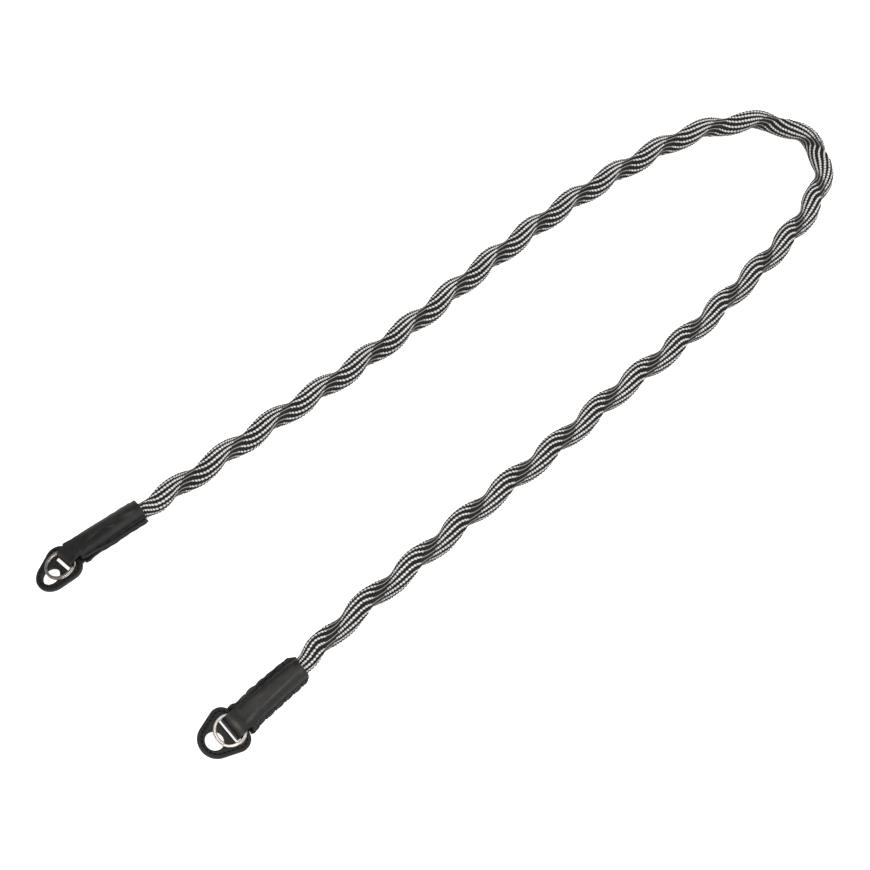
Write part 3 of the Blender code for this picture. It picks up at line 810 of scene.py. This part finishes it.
def buildSleeve(name):
    # a flat grid of leather, laid along the strip's path and given its thickness
    rows, layerRows = sleeveRows(name)
    count, outer = len(rows[0]), sleeve["outerColumns"]
    first, last = layerRows, len(rows) - layerRows - 1    # the tongue's rows
    bm = bmesh.new()
    bmesh.ops.create_grid(bm, x_segments=len(rows) - 1, y_segments=count - 1, size=0.5)
    rubSheenShadeLayer = bm.verts.layers.float.new("rubSheenShade")
    index = {}
    for vert in bm.verts:
        i, j = round((vert.co.x + 0.5) * (len(rows) - 1)), round((vert.co.y + 0.5) * (count - 1))
        index[vert] = (i, j)
        x, y, z, rubSheenShade = rows[i][j]
        vert.co = endPoint(name, (x, y, z))
        # brown rub and painted sheen along the strip's cut edges, stronger along the tongue's edges
        border = sleeve["borderRubAndSheen"] if j in (0, count - 1) or i in (0, len(rows) - 1) else 0.0
        if first <= i <= last and j in (outer, count - 1 - outer):
            border = sleeve["tongueRubAndSheen"]
        vert[rubSheenShadeLayer] = max(rubSheenShade, border)
    spare = []
    for face in bm.faces:
        places = [index[v] for v in face.verts]
        beyond = any(first <= i <= last for i, j in places)
        if beyond and (min(j for i, j in places) < outer or max(j for i, j in places) > count - 1 - outer):
            spare.append(face)
    bmesh.ops.delete(bm, geom=spare, context="FACES")
    loose = [v for v in bm.verts if not v.link_faces]
    bmesh.ops.delete(bm, geom=loose, context="VERTS")
    inner = [v for v in bm.verts if not v.is_boundary]
    for _ in range(2):
        bmesh.ops.smooth_vert(bm, verts=inner, factor=0.5, use_axis_x=True, use_axis_y=True, use_axis_z=True)
    bm.normal_update()
    x, high = sleeve["insideOut"]
    middle, above = endPoint(name, (x, 0.0, 0.0)), endPoint(name, (x, 0.0, high))
    sample = min(bm.faces, key=lambda face: (face.calc_center_median() - above).length)
    if sample.normal.dot(sample.calc_center_median() - middle) < 0.0:
        bmesh.ops.reverse_faces(bm, faces=bm.faces)
    bm.normal_update()
    outside = set(bm.verts)
    bmesh.ops.solidify(bm, geom=bm.faces[:], thickness=sleeve["thickness"])
    for face in bm.faces:
        cut = len({v in outside for v in face.verts}) == 2    # it joins the outer side and the inner one
        face.material_index = 1 if cut else 0
    mesh = bpy.data.meshes.new("sleeve_" + name)
    bm.to_mesh(mesh)
    bm.free()
    finishes = [leather[name], leatherEdge]
    made = finishPiece("sleeveLeather_" + name, mesh, finishes, ["sleeve_" + name])
    rounding = made.modifiers.new("rounded cut edges", "BEVEL")
    rounding.width, rounding.segments = sleeve["edgeRounding"], 2
    rounding.limit_method, rounding.angle_limit = "ANGLE", math.radians(sleeve["edgeAngle"])


def placeCopies(bm, once, matrices):
    # the same small shape again at each place
    mesh = bpy.data.meshes.new("once")
    once.to_mesh(mesh)
    for matrix in matrices:
        before = set(bm.verts)
        bm.from_mesh(mesh)
        bmesh.ops.transform(bm, matrix=matrix, verts=[v for v in bm.verts if v not in before])
    bpy.data.meshes.remove(mesh)
    once.free()


def localMatrix(name, point, heading=0.0, sizes=(1.0, 1.0, 1.0)):
    middle, turn = endFrame(name, point[0])
    place = middle + turn @ Vector((0.0, point[1], point[2]))
    scale = Matrix.Diagonal((*sizes, 1.0))
    return Matrix.Translation(place) @ turn.to_matrix().to_4x4() @ Matrix.Rotation(heading, 4, "Z") @ scale


sleeveThread = {
    "radius": 0.00027,
    "sides": 8,
    "facetTurn": 0.35,
    "wrapRadius": 0.00150,
    "wrapPast": 0.35,             # how far past top and bottom a stitch goes, in radians
    "wrapSteps": 12,
    "wrapInset": 0.00120,
    "wrapSlant": 0.16,
    "marks": (0.00125, 0.00055, 0.00042),
    "markInset": 0.00070,
    "markRise": 0.00004,
}


def wrapStitch(side):
    # a round thread bent over one edge of the sleeve
    once = bmesh.new()
    sides, radius = sleeveThread["sides"], sleeveThread["radius"]
    bmesh.ops.create_circle(once, cap_ends=True, segments=sides, radius=radius)
    centre, past = (0.0, 0.0, sleeveThread["wrapRadius"]), sleeveThread["wrapPast"]
    start = Matrix.Translation(centre) @ Matrix.Rotation(sleeveThread["facetTurn"], 4, "Z")
    bmesh.ops.transform(once, matrix=start, verts=once.verts)
    bmesh.ops.rotate(once, cent=centre, matrix=Matrix.Rotation(math.pi / 2, 3, "X"), verts=once.verts)
    back = Matrix.Rotation(side * past, 3, "X")
    bmesh.ops.rotate(once, cent=(0.0, 0.0, 0.0), matrix=back, verts=once.verts)
    bmesh.ops.spin(
        once, geom=once.faces[:], cent=(0.0, 0.0, 0.0), axis=(1.0, 0.0, 0.0),
        angle=-side * (math.pi + 2.0 * past), steps=sleeveThread["wrapSteps"], use_merge=False,
    )
    return once


def buildSleeveThread(name):
    bm = bmesh.new()
    begin, pitch = sleeve["stitchFirst"][name], sleeve["stitchPitch"][name]
    places = [begin + k * pitch for k in range(sleeve["stitchCount"])]
    if name == "right":
        # near end: every stitch goes over the edge
        for side in (1.0, -1.0):
            matrices = []
            for x in places:
                rim = sectionLine(name, x, 1)[0][0]
                spot = (x, side * (rim - sleeveThread["wrapInset"]), 0.0)
                matrices.append(localMatrix(name, spot, side * sleeveThread["wrapSlant"]))
            placeCopies(bm, wrapStitch(side), matrices)
    # short marks: below on both ends, and above on one side of the far end
    once = bmesh.new()
    bmesh.ops.create_uvsphere(once, u_segments=10, v_segments=8, radius=1.0)
    matrices = []
    for x in places:
        for side in (1.0, -1.0):
            for layer in (1.0, -1.0):
                y, z = sectionLine(name, x, int(layer))
                at = (y[0] if side > 0.0 else y[-1]) - side * sleeveThread["markInset"]
                if layer < 0.0 or (name == "left" and side > 0.0):
                    spot = (x, at, z[0] + layer * sleeveThread["markRise"])
                    matrices.append(localMatrix(name, spot, 0.0, sleeveThread["marks"]))
    placeCopies(bm, once, matrices)
    bmesh.ops.recalc_face_normals(bm, faces=bm.faces)
    mesh = bpy.data.meshes.new("sleeveThread_" + name)
    bm.to_mesh(mesh)
    bm.free()
    finishPiece("sleeveThread_" + name, mesh, [threadFinish])


# Ring guards: a round-tipped leather plate, stitched all round, with the lug's hole and the tongue's slot

guard = {
    "thickness": 0.0020,
    "shoulder": 0.0061,
    "shoulderSide": {
        "left": {-1: (0.0415, 0.0054), 1: (0.0415, 0.0045)},
        "right": {-1: (0.0412, 0.0051), 1: (0.0409, 0.0055)},
    },
    "tip": (0.0485, 0.0087),
    "hole": (0.0498, 0.0044),
    "slot": (0.0394, 0.0428, 0.0007),            # back, front, and radius of the corners
    "slotSide": {"left": {-1: 0.0058, 1: 0.0065}, "right": {-1: 0.0063, 1: 0.0067}},
    "shift": {"left": -0.0004, "right": 0.0},
    "insets": (                                 # steps in from the edge, and how deep each one lies
        (0.00018, 0.00012), (0.00022, 0.0), (0.00100, 0.0),
        (0.00030, 0.00016), (0.00034, 0.00016), (0.00030, 0.0),
    ),
    "openingEdge": ((0.0, 0.00026), (0.00010, 0.00008), (0.00030, 0.0)),
    "edgeDrop": 0.00042,
    # brown rub with painted sheen: strong on the rounded edges, faint on the flat
    "edgeRubAndSheen": 0.7,
    "flatRubAndSheen": 0.12,
    "rubAndSheenBelow": -0.00030,
    "stitchInset": 0.00187,
    "stitchPitch": 0.0021,
    "stitchSizes": (0.00088, 0.00052, 0.00019),
    "stitchSink": 0.00012,
    "lookAhead": 0.0001,
}


def arcPoints(centre, radius, start, stop, steps):
    turns = np.radians(np.linspace(start, stop, steps + 1))
    return [(centre[0] + radius * math.cos(t), centre[1] + radius * math.sin(t)) for t in turns]


def guardOutline(name, inset):
    tx, tip = guard["tip"]
    shoulder, tip = guard["shoulder"] - inset, tip - inset
    touch = {}
    for side, (sx, sy) in guard["shoulderSide"][name].items():
        lean = math.degrees(math.atan2(-sy, tx - sx))
        touch[side] = lean + 90.0 - math.degrees(math.asin((shoulder - tip) / math.hypot(tx - sx, sy)))
    (hx, high), (lx, low) = (guard["shoulderSide"][name][side] for side in (1, -1))
    points = arcPoints((tx, 0.0), tip, -touch[-1], touch[1], 34)
    points += arcPoints((hx, high), shoulder, touch[1], 178.0, 16)
    points += arcPoints((lx, -low), shoulder, 182.0, 360.0 - touch[-1], 16)
    return points


def layBand(bm, loops):
    # a closed band of faces through loops of equal count; gives back the last loop's edges
    count, rows = len(loops[0]), len(loops) - 1
    grid = bmesh.ops.create_grid(bm, x_segments=count, y_segments=rows, size=0.5)
    last = []
    for vert in grid["verts"]:
        i, j = round((vert.co.x + 0.5) * count), round((vert.co.y + 0.5) * rows)
        vert.co = loops[j][i % count]
        if j == rows:
            last.append(vert)
    bmesh.ops.remove_doubles(bm, verts=grid["verts"], dist=0.0000001)
    kept = {v for v in last if v.is_valid}
    return [e for e in bm.edges if e.is_boundary and all(v in kept for v in e.verts)]


def buildGuard(name):
    # rings of the outline, stepping in from the edge, then the flat middle round hole and slot
    bm = bmesh.new()
    inset = 0.0
    loops = [[(x, y, -guard["edgeDrop"]) for x, y in guardOutline(name, 0.0)]]
    for step, drop in guard["insets"]:
        inset += step
        loops.append([(x, y, -drop) for x, y in guardOutline(name, inset)])
    rims = layBand(bm, loops)
    hx, radius = guard["hole"]
    back, front, corner = guard["slot"]
    high, low = (side * guard["slotSide"][name][side] - side * corner for side in (1, -1))
    corners = ((front - corner, high, 0.0), (back + corner, high, 90.0),
               (back + corner, low, 180.0), (front - corner, low, 270.0))
    holes, slots = [], []
    for grow, drop in guard["openingEdge"]:
        holes.append([(x, y, -drop) for x, y in arcPoints((hx, 0.0), radius + grow, 0.0, 352.5, 47)])
        arcs = [arcPoints((x, y), corner + grow, a, a + 90.0, 5) for x, y, a in corners]
        slots.append([(x, y, -drop) for arc in arcs for x, y in arc])
    rims += layBand(bm, holes) + layBand(bm, slots)
    bmesh.ops.triangle_fill(bm, use_beauty=True, edges=rims)
    bmesh.ops.recalc_face_normals(bm, faces=bm.faces)
    if sum(f.normal.z * f.calc_area() for f in bm.faces) < 0.0:
        bmesh.ops.reverse_faces(bm, faces=bm.faces)
    rubSheenShadeLayer = bm.verts.layers.float.new("rubSheenShade")
    # brown rub with painted sheen: strong on the rounded edges of the outline, hole and slot, faint on the
    # flat
    for vert in bm.verts:
        vert[rubSheenShadeLayer] = guard["edgeRubAndSheen"] if vert.co.z < guard["rubAndSheenBelow"] else guard["flatRubAndSheen"]
        vert.co.z += guard["thickness"] / 2
    grown = bmesh.ops.extrude_face_region(bm, geom=bm.faces[:], use_keep_orig=True)
    for vert in [g for g in grown["geom"] if isinstance(g, bmesh.types.BMVert)]:
        vert.co.z = -vert.co.z
    bmesh.ops.recalc_face_normals(bm, faces=bm.faces)
    for face in bm.faces:
        face.material_index = 1 if len({v.co.z > 0.0 for v in face.verts}) == 2 else 0
    for vert in bm.verts:
        vert.co = endPoint(name, (vert.co.x, vert.co.y + guard["shift"][name], vert.co.z))
    mesh = bpy.data.meshes.new("guard_" + name)
    bm.to_mesh(mesh)
    bm.free()
    finishes = [guardLeather, leatherEdge]
    finishPiece("guardLeather_" + name, mesh, finishes, ["ring_guard_" + name])


def pointAlong(line, walked, distance):
    return np.array([np.interp(distance, walked, line[:, i]) for i in (0, 1)])


def buildGuardThread(name):
    line = np.array(guardOutline(name, guard["stitchInset"]))
    line = np.vstack([line, line[:1]])
    walked = np.concatenate(([0.0], np.cumsum(np.hypot(*np.diff(line, axis=0).T))))
    count = round(walked[-1] / guard["stitchPitch"])
    bm, once = bmesh.new(), bmesh.new()
    bmesh.ops.create_uvsphere(once, u_segments=8, v_segments=6, radius=1.0)
    matrices = []
    for k in range(count):
        at = walked[-1] * (k + 0.5) / count
        here, ahead = (pointAlong(line, walked, d) for d in (at, at + guard["lookAhead"]))
        heading = math.atan2(*(ahead - here)[::-1])
        for layer in (1.0, -1.0):
            level = layer * (guard["thickness"] / 2 - guard["stitchSink"])
            spot = (here[0], here[1] + guard["shift"][name], level)
            matrices.append(localMatrix(name, spot, heading, guard["stitchSizes"]))
    placeCopies(bm, once, matrices)
    mesh = bpy.data.meshes.new("guardThread_" + name)
    bm.to_mesh(mesh)
    bm.free()
    finishPiece("guardThread_" + name, mesh, [pitShadeFinish])


guardLeather = leatherFinish("ring guard leather", "0f0f0e", "1c1b1a", "3d3630", 0.58, 0.85)
for name in ends["mouth"]:
    buildSleeve(name)
    buildSleeveThread(name)
    buildGuard(name)
    buildGuardThread(name)
print("leather ends ready")


# Split rings: a flat nickel wire that lies on itself once round

ring = {
    "outer": 0.00775,
    "wire": (0.00134, 0.00066),
    "rounding": 0.00029,
    "rise": 0.00074,
    "ramp": {"left": 26.0, "right": 52.0},    # degrees in which the wire climbs onto its first turn
    "rampEnd": 357.0,
    "endGap": 8.0,
    "narrowing": 0.00020,
    "clear": 0.0003,
    "centre": {"left": (0.0433, -0.0002), "right": (0.0418, 0.0007)},
    "wireEnd": {"left": 150.0, "right": 86.0},
    "stepDegrees": 4.0,
    "weld": 0.000005,
}


def nickelFinish():
    made = Finish("warm nickel", Metallic=1.0)
    cloud, scratch = made.noise(420.0, 3.0), made.noise(2600.0, 2.0, 0.6, stretch=(1.0, 1.0, 0.3))
    return made.feed(
        Base_Color=made.blend(made.steps(cloud, 0.35, 0.7), srgb("b6ada6"), srgb("d4ccc5")),
        Roughness=0.27 + 0.06 * scratch,
        Normal=made.bump(scratch, 0.02, 0.00002),
    )


nickel = nickelFinish()


def wireProfile():
    w, h = (side / 2 for side in ring["wire"])
    r = ring["rounding"]
    corners = ((w - r, h - r, 0.0), (r - w, h - r, 90.0), (r - w, r - h, 180.0), (w - r, r - h, 270.0))
    return [p for x, y, a in corners for p in arcPoints((x, y), r, a, a + 90.0, 6)]


def buildRing(name):
    ramp = ring["ramp"][name]
    length = 4.0 * math.pi - math.radians(ramp + ring["endGap"])
    steps = round(math.degrees(length) / ring["stepDegrees"])
    profile = wireProfile()
    mean = ring["outer"] - ring["wire"][0] / 2
    base = guard["thickness"] / 2 + ring["clear"] + ring["wire"][1] / 2
    bm = bmesh.new()
    bmesh.ops.create_grid(bm, x_segments=steps, y_segments=len(profile), size=0.5)
    for vert in bm.verts:
        turn = (vert.co.x + 0.5) * length
        across, up = profile[round((vert.co.y + 0.5) * len(profile)) % len(profile)]
        climbed = float(ease(1.0 - (math.radians(ring["rampEnd"]) - turn) / math.radians(ramp)))
        level = base + up + ring["rise"] * climbed
        angle = turn + math.radians(ring["wireEnd"][name])
        x, y = ring["centre"][name]
        reach = mean + across - ring["narrowing"] * climbed
        vert.co = endPoint(name, (x + reach * math.cos(angle), y + reach * math.sin(angle), level))
    bmesh.ops.remove_doubles(bm, verts=bm.verts, dist=ring["weld"])
    bmesh.ops.holes_fill(bm, edges=[e for e in bm.edges if e.is_boundary])
    bmesh.ops.recalc_face_normals(bm, faces=bm.faces)
    mesh = bpy.data.meshes.new("ring_" + name)
    bm.to_mesh(mesh)
    bm.free()
    finishPiece("splitRing_" + name, mesh, [nickel], ["split_ring_" + name])


for name in ends["mouth"]:
    buildRing(name)
print("split rings ready")

# Floor and soft studio light

studio = {
    "floorSize": 3.0,
    "floorTone": 0.93,
    "floorGlow": 0.80,            # lifts the paper to white without lighting the strap from below much
    "sky": 0.20,
    "softboxPower": 31.0,
    "softboxSize": 2.0,
    "softboxPlace": (0.50, -0.20, 1.4),
}


def buildStudio():
    bm = bmesh.new()
    bmesh.ops.create_grid(bm, x_segments=1, y_segments=1, size=studio["floorSize"])
    mesh = bpy.data.meshes.new("floor")
    bm.to_mesh(mesh)
    bm.free()
    floor = bpy.data.objects.new("floor", mesh)
    bpy.context.scene.collection.objects.link(floor)
    paper = Finish("pale paper", Specular_IOR_Level=0.1, Roughness=0.9, Emission_Strength=studio["floorGlow"])
    tone = studio["floorTone"]
    mesh.materials.append(
        paper.feed(Base_Color=paper.blend(paper.noise(3.0), (tone, tone, tone), (tone + 0.01,) * 3))
    )
    floor.visible_diffuse = False    # the strap's flanks stay as dark as in the photograph
    lamp = bpy.data.objects.new("softbox", bpy.data.lights.new("softbox", "AREA"))
    lamp.data.shape, lamp.data.size = "SQUARE", studio["softboxSize"]
    lamp.data.energy = studio["softboxPower"]
    lamp.location = studio["softboxPlace"]
    lamp.rotation_euler = (-Vector(studio["softboxPlace"])).to_track_quat("-Z", "Y").to_euler()
    bpy.context.scene.collection.objects.link(lamp)
    sky = bpy.data.worlds.new("studio")
    bpy.context.scene.world = sky
    sky.use_nodes = True
    sky.node_tree.nodes["Background"].inputs["Strength"].default_value = studio["sky"]
    sky.node_tree.nodes["Background"].inputs["Color"].default_value = (1.0, 1.0, 1.0, 1.0)


buildStudio()
bpy.context.scene.view_settings.view_transform = "Standard"
print("studio ready")
